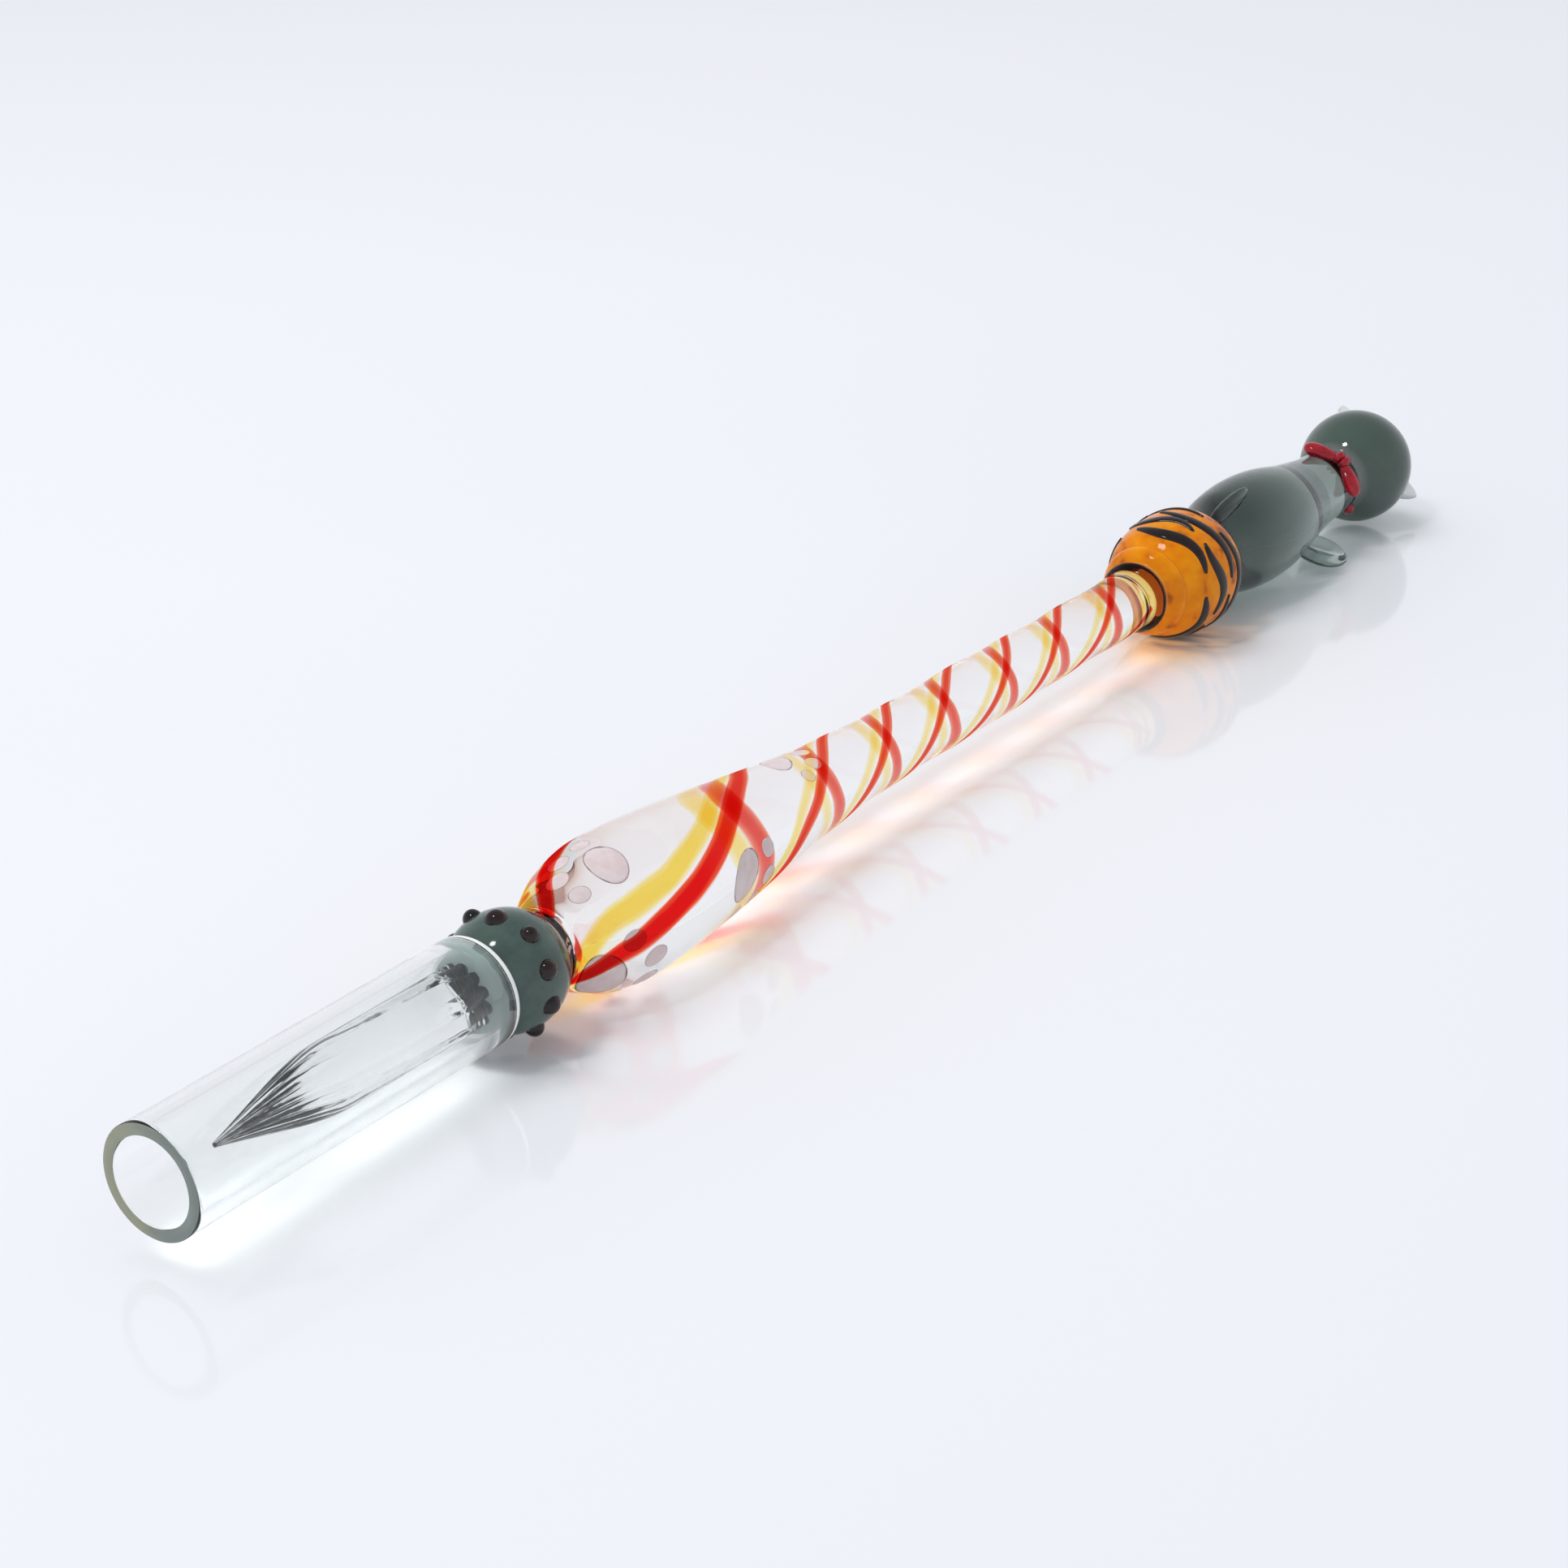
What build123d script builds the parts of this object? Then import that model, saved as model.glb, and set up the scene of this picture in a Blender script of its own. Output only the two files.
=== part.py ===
from build123d import *
import math
import os

# Glass dip pen with a cat finial and a loose protective tube, in millimetres.
# The pen lies along X, nib towards -X and cat towards +X, resting on its widest bulb.
# "Station" is the distance along the pen from the open mouth of the tube.
# "Clock" is the angle about the pen's axis: 0 faces -Y, 90 faces up (+Z).

# --- protective tube -------------------------------------------------------
TUBE_LENGTH = 38.3
TUBE_OUTER_R = 5.0
TUBE_INNER_R = 3.9
TUBE_RIM_CHAMFER = 0.15
TUBE_POLISH_R = 0.25

# --- nib and its collar ----------------------------------------------------
NIB_TIP = 6.6
NIB_TIP_R = 0.22
NIB_SHOULDER = 18.5
NIB_R = 3.0
NIB_END = 36.3
FLUTE_COUNT = 12
FLUTE_R = 0.42
FLUTE_DEPTH = 0.16
FLUTE_TIP_R = 0.04
COLLAR_R = 3.84
COLLAR_CHAMFER = 0.5
COLLAR_RELIEF = 0.4

# --- dotted bead -----------------------------------------------------------
BEAD_CENTRE = 42.4
BEAD_R = 5.4
BEAD_START = 38.7
BEAD_END = 46.2
DOT_COUNT = 10
DOT_START_CLOCK = 18
DOT_STATION = 41.8
DOT_RADII = (0.96, 0.88, 1.04, 0.9, 0.95)
DOT_PROUD = 0.68
DOT_LEAN = 0.3
DOT_LEAN_STEP = 2.4

# --- grip body: bulb, taper and stem ---------------------------------------
BULB_R = 6.85
GRIP_END = 145.0
STEM_END_R = 3.18
GRIP_PROFILE = (
    (47.4, 3.72), (49.6, 4.95), (52.2, 6.1), (55.4, 6.78), (58.2, BULB_R), (62.5, 6.66),
    (68.5, 6.12), (76.0, 5.25), (84.0, 4.34), (92.0, 3.74), (103.0, 3.42), (115.0, 3.42),
    (128.0, 3.2),
)

# --- spiral threads: three red and three yellow, evenly spaced --------------
# Station, clock of the first red thread, and how far the yellow one leads it.
THREAD_COUNT = 3
THREAD_PATH = (
    (46.8, -49, 30), (48.0, -31, 34), (49.3, -16, 35), (50.8, -6, 33), (52.6, 0, 29),
    (55.0, 7, 25), (58.0, 13, 22), (61.0, 19, 23), (64.0, 28, 22), (67.0, 40, 21),
    (70.0, 55, 21), (73.0, 72, 20.5), (76.0, 91, 20.5), (79.0, 118, 21), (82.0, 140, 22),
    (84.0, 159, 22.5), (88.0, 200, 23.5), (95.3, 278, 24), (105.2, 398, 24),
    (116.6, 518, 24), (126.2, 638, 24), (136.8, 758, 24), (144.2, 842, 24),
)
# Widths at stations: the threads thin out as the glass is drawn into the stem.
RED_WIDTHS = ((46.8, 1.3), (52.0, 2.35), (57.0, 2.65), (68.0, 2.3), (76.0, 1.85), (92.0, 1.15), (144.2, 0.95))
YELLOW_WIDTHS = ((46.8, 1.5), (52.0, 2.7), (57.0, 2.6), (64.0, 2.05), (74.0, 1.6), (92.0, 1.2), (144.2, 1.05))
THREAD_THICK = 0.34
THREAD_PROUD = 0.06
THREAD_STEP = 1.6

# --- paw prints: station, clock, turn, size and swing of the toes -----------
PAW_PRINTS = (
    (53.7, 70.0, 170.0, 1.15, -38.0),
    (68.3, 0.0, -40.0, 1.25, 0.0),
    (82.0, 94.0, -40.0, 1.0, 20.0),
    (49.9, -35.0, 13.0, 1.4, -8.0),
)
PAD_SIZE = (1.5, 2.05)
TOES = ((1.9, -2.7, 0.82), (3.5, -1.05, 0.92), (3.5, 1.1, 0.92), (1.9, 2.75, 0.82))
TOE_SHAPE = (1.0, 0.85)
PRINT_PROUD = 0.1
PRINT_DEPTH = 0.3

# --- amber bell ------------------------------------------------------------
NECK_RING_R = 3.85
NECK_RING_END = 146.8
STEP_RING_R = 4.8
STEP_RING_END = 149.1
BELL_R = 6.6
BELL_LIP = 158.6
DISH_FLOOR = 157.2
DISH_R = 4.3
# Rows of black stripes: station, how many, the angle that each sweeps, first clock.
STRIPE_ROWS = ((151.2, 3, 96, 20), (153.2, 4, 74, 62), (155.1, 3, 104, 5), (156.7, 3, 98, 70))
STRIPE_WAVE = 0.42
STRIPE_BENDS = 6.5
STRIPE_SHIFT = 1.9
STRIPE_ENDS = 0.35
STRIPE_SWELL = 1.05
STRIPE_THICK = 0.5
STRIPE_PROUD = 0.14

# --- cat -------------------------------------------------------------------
CAT_ROLL = 36.0
HEAD_ROLL = 44.0
HEAD_CENTRE = 196.21
HEAD_R = 6.35
NECK = 191.0
NECK_R = 3.3
BODY_PROFILE = (
    (162.0, 4.8), (166.0, 5.72), (170.2, 6.08), (174.6, 5.8), (180.0, 4.75), (185.4, 3.98),
    (188.4, 3.84), (189.7, 3.72), (190.4, 3.4),
)
BOW_STATION = 187.8

AXIS_HEIGHT = BULB_R
LENGTH = HEAD_CENTRE + HEAD_R
PLACE = Pos(-LENGTH / 2, 0, AXIS_HEIGHT)

nodes = {}


def keep(name, *solids):
    """Moves one named piece, or group of pieces, to its place in the pen's frame."""
    placed = [PLACE * solid for solid in solids]
    nodes[name] = placed[0] if len(placed) == 1 else Compound(children=placed)


def turned(curve, start, end):
    """A solid of revolution about the pen's axis under a curve between two stations."""
    outline = Polyline(curve @ 1, (end, 0), (start, 0), curve @ 0)
    return revolve(make_face(curve + outline), Axis.X)


def sphere_slice(centre, radius, start, end):
    """The part of a ball on the axis between two planes across the axis."""
    slab = Pos((start + end) / 2, 0, 0) * Box(end - start, 4 * radius, 4 * radius)
    return Pos(centre, 0, 0) * Sphere(radius) & slab


def smooth(points, station):
    """Value at a station of a smooth curve through (station, value) points."""
    last = len(points) - 1
    station = min(max(station, points[0][0]), points[last][0])
    i = max(k for k in range(last) if points[k][0] <= station)

    def slope(k):
        low, high = points[max(k - 1, 0)], points[min(k + 1, last)]
        return (high[1] - low[1]) / (high[0] - low[0])

    width = points[i + 1][0] - points[i][0]
    t = (station - points[i][0]) / width
    rise = points[i][1] + (points[i + 1][1] - points[i][1]) * t * t * (3 - 2 * t)
    return rise + width * t * (1 - t) * (slope(i) * (1 - t) - slope(i + 1) * t)


def grip_radius(station):
    """Radius of the grip body at a station."""
    ends = ((BEAD_END, bead_radius(BEAD_END)),) + GRIP_PROFILE + ((GRIP_END, STEM_END_R),)
    return smooth(ends, station)


def bead_radius(station):
    """Radius of the bead's ball at a station."""
    return math.sqrt(BEAD_R ** 2 - (station - BEAD_CENTRE) ** 2)


def radial(clock):
    """Unit vector pointing away from the axis at a clock angle."""
    angle = math.radians(clock)
    return Vector(0, -math.cos(angle), math.sin(angle))


def around(clock):
    """Unit vector along the surface in the direction of rising clock angle."""
    return radial(clock + 90)


def on_axis(station, clock, distance):
    """Point at a distance from the axis."""
    return Vector(station, 0, 0) + radial(clock) * distance


def seat(station, clock, distance, turn=0.0, slope=0.0):
    """Plane on the surface: its X runs along the pen, its Z points outwards.

    The turn swings X round Z, and the slope is the surface's rise along the pen.
    """
    outward = (radial(clock) - Vector(slope, 0, 0)).normalized()
    uphill = (Vector(1, 0, 0) + radial(clock) * slope).normalized()
    along = uphill * math.cos(math.radians(turn)) + around(clock) * math.sin(math.radians(turn))
    return Plane(on_axis(station, clock, distance), x_dir=along, z_dir=outward)


def ellipsoid(a, b, c):
    """Rounded blob with three half lengths."""
    return scale(Sphere(1.0), by=(a, b, c))


def ribbon(centres, radius_at, widths, thick, proud):
    """Flat glass thread laid on a turned surface, along (station, clock) points."""
    wires = []
    for i, (station, clock) in enumerate(centres):
        before = centres[max(i - 1, 0)]
        after = centres[min(i + 1, len(centres) - 1)]
        middle_r = radius_at(station)
        along_s = after[0] - before[0]
        along_c = math.radians(after[1] - before[1]) * middle_r
        size = math.hypot(along_s, along_c)
        half = widths[i] / 2
        ds = half * along_c / size
        dc = math.degrees(half * along_s / size / middle_r)
        inward = radial(clock) * -thick
        left = on_axis(station + ds, clock - dc, radius_at(station + ds) + proud)
        right = on_axis(station - ds, clock + dc, radius_at(station - ds) + proud)
        corners = [left, right, right + inward, left + inward]
        wires.append(Wire.make_polygon(corners, close=True))
    return Solid.make_loft(wires, ruled=True)


# --- protective tube: open at both ends ------------------------------------
def make_tube():
    wall = Cylinder(TUBE_OUTER_R, TUBE_LENGTH) - Cylinder(TUBE_INNER_R, TUBE_LENGTH)
    wall = Pos(TUBE_LENGTH / 2, 0, 0) * (Rot(0, 90, 0) * wall)
    rims = wall.edges().filter_by(GeomType.CIRCLE).sort_by(Axis.X)
    wall = chamfer(rims[:2], TUBE_RIM_CHAMFER)
    rims = wall.edges().filter_by(GeomType.CIRCLE).sort_by(Axis.X)
    return fillet(rims[-2:], TUBE_POLISH_R)


keep("protective_tube", make_tube())


# --- nib: straight flutes that close to a point ----------------------------
def make_nib():
    cone = Spline(
        (NIB_TIP, NIB_TIP_R), (11.0, 1.25), (NIB_SHOULDER, NIB_R),
        tangents=((1, 0.26), (1, 0.1)),
    )
    barrel = Line(cone @ 1, (NIB_END, NIB_R))
    blank = turned(cone + barrel, NIB_TIP, NIB_END)
    shoulder = Vector(NIB_SHOULDER, 0, NIB_R + FLUTE_R - FLUTE_DEPTH)
    barrel_length = NIB_END - NIB_SHOULDER + 2
    barrel_groove = Solid.make_cylinder(FLUTE_R, barrel_length, Plane(shoulder, z_dir=(1, 0, 0)))
    run = Vector(NIB_TIP - 1.0, 0, NIB_TIP_R) - shoulder
    cone_groove = Solid.make_cone(FLUTE_R, FLUTE_TIP_R, run.length, Plane(shoulder, z_dir=run))
    for i in range(FLUTE_COUNT):
        turn = Rot(i * 360 / FLUTE_COUNT, 0, 0)
        blank -= turn * barrel_groove
        blank -= turn * cone_groove
    return blank


keep("nib", make_nib())


# --- collar that guides the tube -------------------------------------------
def make_collar():
    edge = Polyline(
        (NIB_END, NIB_R), (NIB_END + COLLAR_CHAMFER, COLLAR_R), (BEAD_START - COLLAR_RELIEF, COLLAR_R),
        (BEAD_START, bead_radius(BEAD_START) - COLLAR_RELIEF),
    )
    return turned(edge, NIB_END, BEAD_START)


keep("nib_collar", make_collar())

# --- bead with its ring of raised dots -------------------------------------
bead = sphere_slice(BEAD_CENTRE, BEAD_R, BEAD_START, BEAD_END)
keep("bead", bead)


def make_dots():
    dots = []
    for i in range(DOT_COUNT):
        size = DOT_RADII[i % len(DOT_RADII)]
        lean = DOT_LEAN * math.sin(DOT_LEAN_STEP * i)
        clock = DOT_START_CLOCK + i * 360 / DOT_COUNT
        level = bead_radius(DOT_STATION + lean)
        dome = ellipsoid(size, size, 1.5 * DOT_PROUD)
        dots.append(seat(DOT_STATION + lean, clock, level - DOT_PROUD / 2).location * dome)
    return dots


keep("bead_dots", *make_dots())

# --- clear grip body -------------------------------------------------------
grip_curve = Spline(
    (BEAD_END, bead_radius(BEAD_END)), *GRIP_PROFILE, (GRIP_END, STEM_END_R)
)
keep("grip_body", turned(grip_curve, BEAD_END, GRIP_END))


# --- spiral threads: slow over the bulb, faster along the stem --------------
def make_thread(number, lead_share, width_marks):
    """One thread; lead_share is 1 for a yellow thread and 0 for the red one beside it."""
    first = THREAD_PATH[0][0]
    last = THREAD_PATH[-1][0]
    clocks = [(station, clock + lead_share * lead) for station, clock, lead in THREAD_PATH]
    steps = math.ceil((last - first) / THREAD_STEP)
    centres = []
    widths = []
    for i in range(steps + 1):
        station = first + (last - first) * i / steps
        turn = (number - 1) * 360 / THREAD_COUNT
        centres.append((station, smooth(clocks, station) + turn))
        widths.append(smooth(width_marks, station))
    return ribbon(centres, grip_radius, widths, THREAD_THICK, THREAD_PROUD)


for number in range(1, THREAD_COUNT + 1):
    keep(f"red_thread_{number}", make_thread(number, 0, RED_WIDTHS))
    keep(f"yellow_thread_{number}", make_thread(number, 1, YELLOW_WIDTHS))


# --- paw prints: one pad and four toes, raised on the grip ------------------
def make_paw_print(station, clock, turn, size, swing):
    """Paw print on the grip: the turn is the pad's, and the toes swing round it."""
    toe_long, toe_wide = TOE_SHAPE
    blobs = [(0.0, 0.0, *PAD_SIZE, turn)]
    blobs += [(ahead, aside, toe_long * r, toe_wide * r, turn + swing) for ahead, aside, r in TOES]
    solids = []
    for ahead, aside, half_long, half_wide, way in blobs:
        cos_w = math.cos(math.radians(way))
        sin_w = math.sin(math.radians(way))
        place = station + size * (ahead * cos_w - aside * sin_w)
        level = grip_radius(place)
        where = clock + math.degrees(size * (ahead * sin_w + aside * cos_w) / level)
        blob = ellipsoid(size * half_long, size * half_wide, PRINT_DEPTH)
        slope = grip_radius(place + 0.5) - grip_radius(place - 0.5)
        height = level + PRINT_PROUD - PRINT_DEPTH
        solids.append(seat(place, where, height, way, slope).location * blob)
    return solids


for number, print_data in enumerate(PAW_PRINTS, start=1):
    keep(f"paw_print_{number}", *make_paw_print(*print_data))

# --- amber neck rings and bell ---------------------------------------------
ring_curve = ThreePointArc((GRIP_END, STEM_END_R), (145.9, NECK_RING_R), (NECK_RING_END, 3.45))
keep("neck_ring", turned(ring_curve, GRIP_END, NECK_RING_END))

step_curve = ThreePointArc(
    (NECK_RING_END, 3.45), (148.1, STEP_RING_R), (STEP_RING_END, 4.5)
)
keep("step_ring", turned(step_curve, NECK_RING_END, STEP_RING_END))


BELL_PROFILE = (
    (STEP_RING_END, 4.5), (150.2, 5.55), (152.2, 6.28), (154.8, BELL_R), (156.9, 6.5),
)


def bell_radius(station):
    """Radius of the bell's outer face at a station."""
    return smooth(BELL_PROFILE + ((BELL_LIP, 5.75),), station)


def make_bell():
    outside = Spline(*BELL_PROFILE)
    lip = ThreePointArc(outside @ 1, (158.35, 6.1), (BELL_LIP, 5.5))
    dish = Spline(lip @ 1, (157.9, 4.95), (DISH_FLOOR, DISH_R))
    return turned(outside + lip + dish, STEP_RING_END, DISH_FLOOR)


keep("bell", make_bell())


def make_tiger_stripes():
    """Wavy black threads round the bell, thin at both ends."""
    steps = 12
    stripes = []
    for station, count, sweep_angle, first in STRIPE_ROWS:
        for k in range(count):
            start = first + k * 360 / count
            centres = []
            widths = []
            for j in range(steps + 1):
                share = j / steps
                wave = STRIPE_WAVE * math.sin(STRIPE_BENDS * share + STRIPE_SHIFT * k)
                centres.append((station + wave, start + sweep_angle * share))
                widths.append(STRIPE_ENDS + STRIPE_SWELL * math.sin(math.pi * share))
            stripes.append(ribbon(centres, bell_radius, widths, STRIPE_THICK, STRIPE_PROUD))
    return stripes


keep("tiger_stripes", *make_tiger_stripes())

# --- cat: body, head, ears, bow, paws, tail and face ------------------------
body_curve = Spline((DISH_FLOOR, DISH_R - 0.1), *BODY_PROFILE, (NECK, NECK_R))
keep("cat_body", turned(body_curve, DISH_FLOOR, NECK))
keep("cat_head", sphere_slice(HEAD_CENTRE, HEAD_R, NECK, HEAD_CENTRE + HEAD_R + 1))


def cat(solid, roll=CAT_ROLL):
    """Turns a detail made with the cat's back up to the way the cat is rolled."""
    return Rot(roll, 0, 0) * solid


def spike(base, tip, base_r, tip_r):
    """Round tapered piece between two points."""
    base, tip = Vector(*base), Vector(*tip)
    run = tip - base
    return Solid.make_cone(base_r, tip_r, run.length, Plane(base, z_dir=run))


def blob_between(start, end, half_wide, half_thick, side):
    """Ellipsoid whose long axis joins two points; side is its flat direction."""
    start, end = Vector(*start), Vector(*end)
    run = end - start
    frame = Plane((start + end) / 2, x_dir=run, z_dir=run.cross(Vector(*side)))
    return frame.location * ellipsoid(run.length / 2, half_wide, half_thick)


for side_name, side in (("left", 1), ("right", -1)):
    ear = spike((HEAD_CENTRE + 3.4, side * 3.4, 0), (HEAD_CENTRE + 5.8, side * 6.5, 0.1), 2.1, 0.25)
    keep(f"ear_{side_name}", cat(ear, HEAD_ROLL))

    loop = blob_between(
        (BOW_STATION - 0.1, side * 0.3, 4.25), (BOW_STATION - 1.3, side * 4.1, 3.0),
        1.15, 0.92, (0, 0, 1),
    )
    keep(f"bow_{side_name}", cat(loop))

    hind_paw = blob_between(
        (161.4, side * 2.2, -3.9), (166.4, side * 3.0, -5.6), 1.3, 1.0, (0, 1, 0)
    )
    keep(f"hind_paw_{side_name}", cat(hind_paw))

keep("bow_knot", cat(Pos(BOW_STATION, 0, 4.3) * ellipsoid(0.95, 0.9, 0.82)))
keep("collar_drop", cat(Pos(190.0, -3.4, -0.9) * ellipsoid(0.7, 0.9, 0.75)))

# One front paw lies on the belly, the other is stretched out sideways.
keep("front_paw_left", cat(blob_between((181.6, 1.4, -3.4), (186.6, 1.2, -4.4), 1.3, 1.0, (0, 1, 0))))
keep(
    "front_paw_right",
    blob_between((182.0, -0.5, -4.0), (179.6, -6.6, -5.8), 3.1, 0.85, (1, 0, 0)),
)

keep("tail", cat(blob_between((158.9, 1.2, 4.4), (167.6, 2.3, 5.65), 0.85, 0.62, (0, 1, 0))))


def on_face(tilt, aside, distance):
    """Point on the head, a tilt from the pen's axis towards the belly."""
    angle = math.radians(tilt)
    reach = math.sqrt(distance ** 2 - aside ** 2)
    return (HEAD_CENTRE + reach * math.cos(angle), aside, -reach * math.sin(angle))


eyes = [Pos(*on_face(12, side * 2.3, HEAD_R - 0.25)) * Sphere(0.6) for side in (-1, 1)]
keep("eyes", *[cat(eye, HEAD_ROLL) for eye in eyes])
muzzle = Pos(*on_face(33, 0, HEAD_R - 0.3)) * (Rot(0, 33, 0) * ellipsoid(0.65, 1.4, 1.0))
keep("muzzle", cat(muzzle, HEAD_ROLL))
nose = Pos(*on_face(28, 0, HEAD_R + 0.22)) * (Rot(0, 28, 0) * ellipsoid(0.3, 0.5, 0.35))
keep("nose", cat(nose, HEAD_ROLL))

os.makedirs("parts", exist_ok=True)
for name, shape in nodes.items():
    export_step(shape, f"parts/{name}.step")
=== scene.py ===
import math

import bmesh
import bpy
from mathutils import Euler, Matrix, Vector


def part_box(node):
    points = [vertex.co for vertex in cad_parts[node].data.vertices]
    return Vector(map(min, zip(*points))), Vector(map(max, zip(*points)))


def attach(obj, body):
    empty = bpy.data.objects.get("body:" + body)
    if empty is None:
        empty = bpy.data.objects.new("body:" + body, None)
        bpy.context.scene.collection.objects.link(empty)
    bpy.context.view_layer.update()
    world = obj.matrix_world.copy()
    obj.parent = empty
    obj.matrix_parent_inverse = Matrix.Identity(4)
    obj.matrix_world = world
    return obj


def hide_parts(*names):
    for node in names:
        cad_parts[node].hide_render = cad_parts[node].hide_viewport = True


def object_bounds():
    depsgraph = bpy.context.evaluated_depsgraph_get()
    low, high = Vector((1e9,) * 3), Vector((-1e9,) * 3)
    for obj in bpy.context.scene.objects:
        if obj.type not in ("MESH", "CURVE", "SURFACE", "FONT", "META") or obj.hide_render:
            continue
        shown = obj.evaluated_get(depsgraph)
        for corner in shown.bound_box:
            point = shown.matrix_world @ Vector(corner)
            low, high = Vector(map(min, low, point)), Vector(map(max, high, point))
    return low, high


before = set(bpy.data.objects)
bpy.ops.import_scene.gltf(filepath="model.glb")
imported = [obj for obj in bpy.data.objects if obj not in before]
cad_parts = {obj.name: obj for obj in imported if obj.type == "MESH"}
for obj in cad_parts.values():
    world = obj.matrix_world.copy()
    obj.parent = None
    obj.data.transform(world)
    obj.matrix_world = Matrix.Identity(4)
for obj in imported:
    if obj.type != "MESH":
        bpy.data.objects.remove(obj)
CAD_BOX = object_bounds()

# The pen lies along X. "Station" is the distance in millimetres from the tube's open mouth,
# and "clock" the angle about the pen's axis in degrees: 0 faces -Y and 90 faces up.
MM = 0.001
TUBE_LOW, TUBE_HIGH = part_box("protective_tube")
MOUTH_X = TUBE_LOW.x
AXIS_Z = (TUBE_LOW.z + TUBE_HIGH.z) / 2
TUBE_LENGTH = (TUBE_HIGH.x - TUBE_LOW.x) / MM
TUBE_OUTER_R = (TUBE_HIGH.z - TUBE_LOW.z) / 2 / MM
TUBE_INNER_R = 3.9
MOUTH_OUTER_BEVEL = 0.12
MOUTH_INNER_BEVEL = 0.08
MELTED_LENGTH = 0.75

NIB_TIP = 6.6
NIB_END = 36.3
NIB_PROFILE = (
    (NIB_TIP, 0.2), (9.0, 0.78), (12.0, 1.55), (15.5, 2.4), (18.5, 2.92), (22.0, 3.0), (NIB_END, 3.0),
)
FLUTES = 12
# How far the flutes' wave shifts in a millimetre, in degrees of its own phase.
FLUTE_TWIST = 4.0
# Station, and the flutes' depth there as a share of the nib's radius.
FLUTE_DEPTHS = (
    (NIB_TIP, 0.2), (14.0, 0.15), (19.0, 0.04), (33.0, 0.03), (35.2, 0.12), (NIB_END, 0.26),
)

COLLAR_R = 3.84
COLLAR_EDGE = ((NIB_END, 2.9), (36.45, 3.4), (36.65, 3.72), (36.9, COLLAR_R))
COLLAR_BAND = (37.1, 38.2)
BEAD_CENTRE = 42.4
BEAD_R = 5.4
BEAD_START = 38.7
BEAD_END = 46.2
# The ring of dots wanders a little along the pen, and their sizes differ.
DOTS = 10
DOT_STATION = 41.8
DOT_SWAY = 0.3
DOT_SWAY_STEP = 2.4
DOT_SIZES = (0.96, 0.88, 1.04, 0.9, 0.95)
DOT_DEPTH = 1.01
DOT_SUNK = 0.34

GRIP_END = 145.0
GRIP_PROFILE = (
    (BEAD_END, 3.83), (47.4, 3.72), (49.6, 4.95), (52.2, 6.1), (55.4, 6.78), (58.2, 6.85),
    (62.5, 6.66), (68.5, 6.12), (76.0, 5.25), (84.0, 4.34), (92.0, 3.74), (103.0, 3.42),
    (115.0, 3.42), (128.0, 3.2), (GRIP_END, 3.18),
)
GRIP_IN_BEAD = 0.6
GRIP_IN_NECK = 0.2
RIDGE_HEIGHT = 0.05
RIDGE_START = 78.0
RIDGE_FULL = 90.0

# Station, clock of the first red thread, and how far the yellow one leads it.
THREAD_PATH = (
    (46.8, -49, 30), (48.0, -31, 34), (49.3, -16, 35), (50.8, -6, 33), (52.6, 0, 29),
    (55.0, 7, 25), (58.0, 13, 22), (61.0, 19, 23), (64.0, 28, 22), (67.0, 40, 21),
    (70.0, 55, 21), (73.0, 72, 20.5), (76.0, 91, 20.5), (79.0, 118, 21), (82.0, 140, 22),
    (84.0, 159, 22.5), (88.0, 200, 23.5), (95.3, 278, 24), (105.2, 398, 24),
    (116.6, 518, 24), (126.2, 638, 24), (136.8, 758, 24), (144.2, 842, 24),
)
RED_PATH = tuple((station, clock) for station, clock, _ in THREAD_PATH)
YELLOW_PATH = tuple((station, clock + lead) for station, clock, lead in THREAD_PATH)
THREAD_START = THREAD_PATH[0][0]
THREAD_END = THREAD_PATH[-1][0]
# Station, and the thread's width there.
RED_WIDTHS = (
    (THREAD_START, 1.3), (52.0, 2.35), (57.0, 2.65), (68.0, 2.3), (76.0, 1.85), (92.0, 1.15),
    (THREAD_END, 0.95),
)
YELLOW_WIDTHS = (
    (THREAD_START, 1.5), (52.0, 2.7), (57.0, 2.6), (64.0, 2.05), (74.0, 1.6), (92.0, 1.2),
    (THREAD_END, 1.05),
)
THREADS_OF_A_COLOUR = 3
THREAD_STEPS = 700
THREAD_PROUD = 0.014
THREAD_SUNK = 0.3
# Stations between which a thread turns from the bulb's deep colour to the stem's pale one.
DRAWN_OUT = (62.0, 86.0)

# Station, clock, turn, size, and the swing of the toes round the pad.
PAW_PRINTS = (
    (53.7, 70.0, 170.0, 1.15, -38.0),
    (68.3, 0.0, -40.0, 1.25, 0.0),
    (82.0, 94.0, -40.0, 1.0, 20.0),
    (49.9, -35.0, 13.0, 1.4, -8.0),
)
# Half length and half width, at size 1.
PAD_SIZE = (1.5, 2.05)
TOE_SIZE = (1.0, 0.85)
# Each toe's place ahead of the pad and aside, and its share of the toe's size.
TOES = ((1.9, -2.7, 0.82), (3.5, -1.05, 0.92), (3.5, 1.1, 0.92), (1.9, 2.75, 0.82))
PRINT_PROUD = 0.008
PRINT_SUNK = 0.22

NECK_END = 146.8
STEP_START = 146.95
NECK_RADII = (3.18, 3.45)
NECK_SWELL = 0.52
STEP_RADII = (3.45, 4.5)
STEP_SWELL = 0.8
STEP_FULLNESS = 0.8
BELL_PROFILE = (
    (149.1, 4.5), (150.2, 5.55), (152.2, 6.28), (154.8, 6.56), (156.9, 6.46), (158.2, 6.1),
)
BELL_START = BELL_PROFILE[0][0]
BELL_END = BELL_PROFILE[-1][0]
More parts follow.
